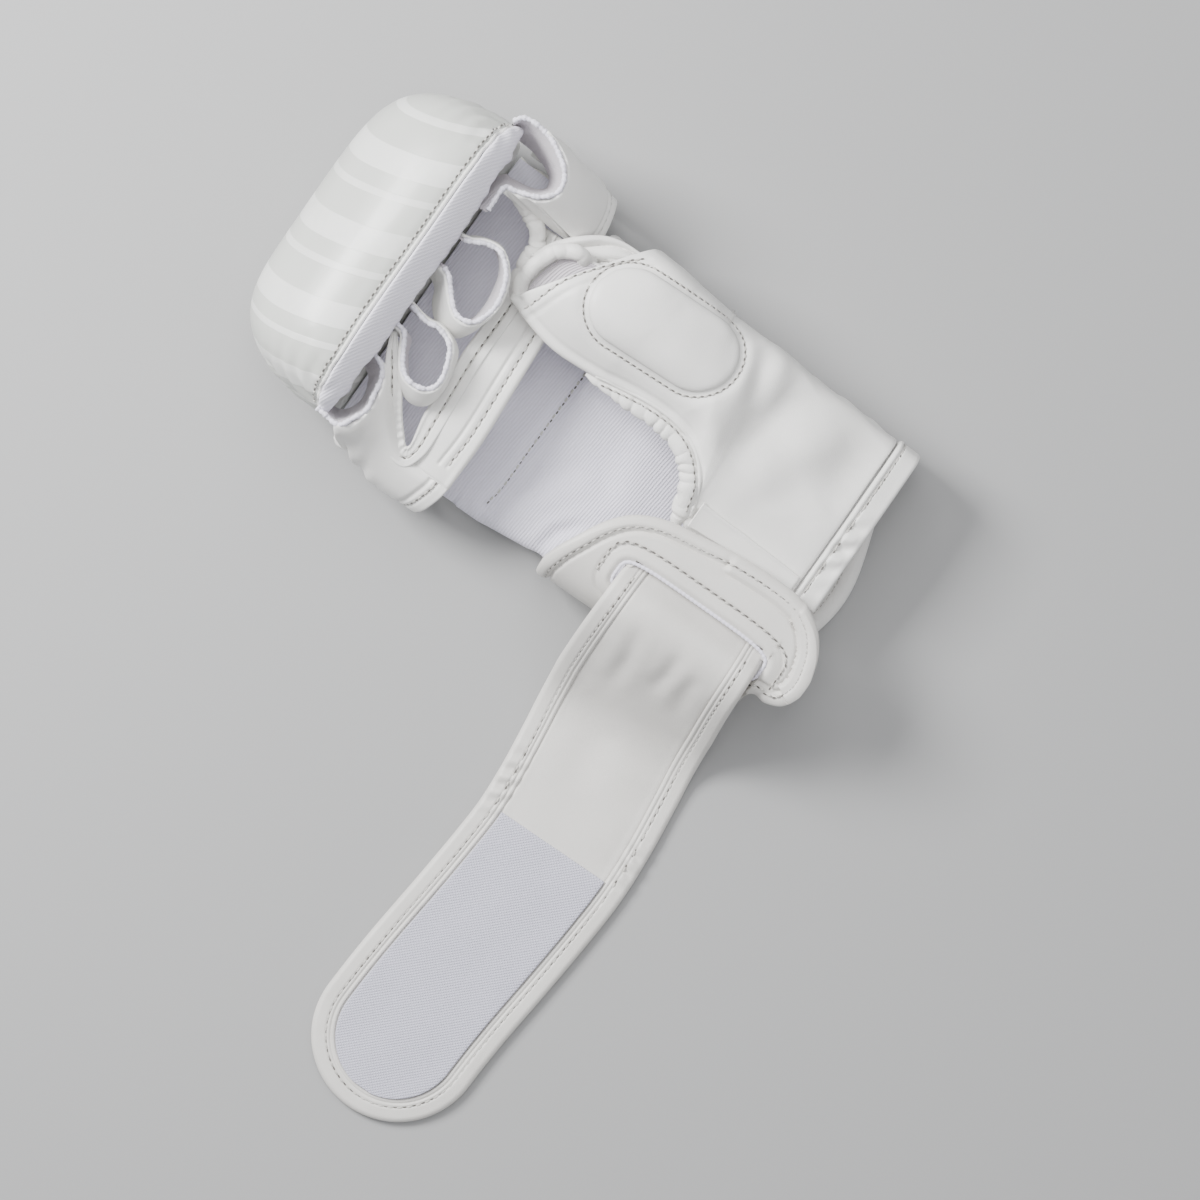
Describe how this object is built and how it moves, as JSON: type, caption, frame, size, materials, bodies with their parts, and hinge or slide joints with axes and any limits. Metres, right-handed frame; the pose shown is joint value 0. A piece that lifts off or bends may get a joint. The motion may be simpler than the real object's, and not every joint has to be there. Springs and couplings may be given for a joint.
{
  "type": "mma sparring glove",
  "caption": "White right-hand sparring glove, palm up, with a curled knuckle pad, open finger loops, a padded thumb sleeve and a wrist strap pulled out flat.",
  "frame": {"origin": "under the middle of the palm, on the flat rest face of the back padding", "axes": "+Y towards the fingers, +X towards the thumb, +Z out of the palm, up"},
  "size_m": [0.3777, 0.2796, 0.0829],
  "materials": {
    "gloss_leather": "gloss",
    "leather": "satin",
    "cloth": "matte",
    "hook_cloth": "matte"
  },
  "bodies": {
    "root": {"knuckle_pad": "gloss_leather", "pad_edge_strip": "cloth", "back_pad": "leather", "cuff_back": "leather", "hand_lining": "cloth", "thumb_panel": "leather", "wrist_hem": "leather", "palm_roll": "leather", "thumb_patch": "leather", "strap_root": "leather", "loop_index_lining": "cloth", "loop_middle_lining": "cloth", "loop_ring_lining": "cloth", "loop_little_lining": "cloth", "loop_middle": "leather", "loop_ring": "leather", "palm_bar": "leather", "wall_thumb_side": "leather", "wall_little_side": "leather", "thumb_underside": "leather", "thumb_lip": "leather", "thumb_web": "leather", "side_gusset": "leather", "closure_plate": "leather", "wrist_strap": "leather", "strap_binding": "leather", "hook_panel": "hook_cloth"}
  },
  "joints": []
}
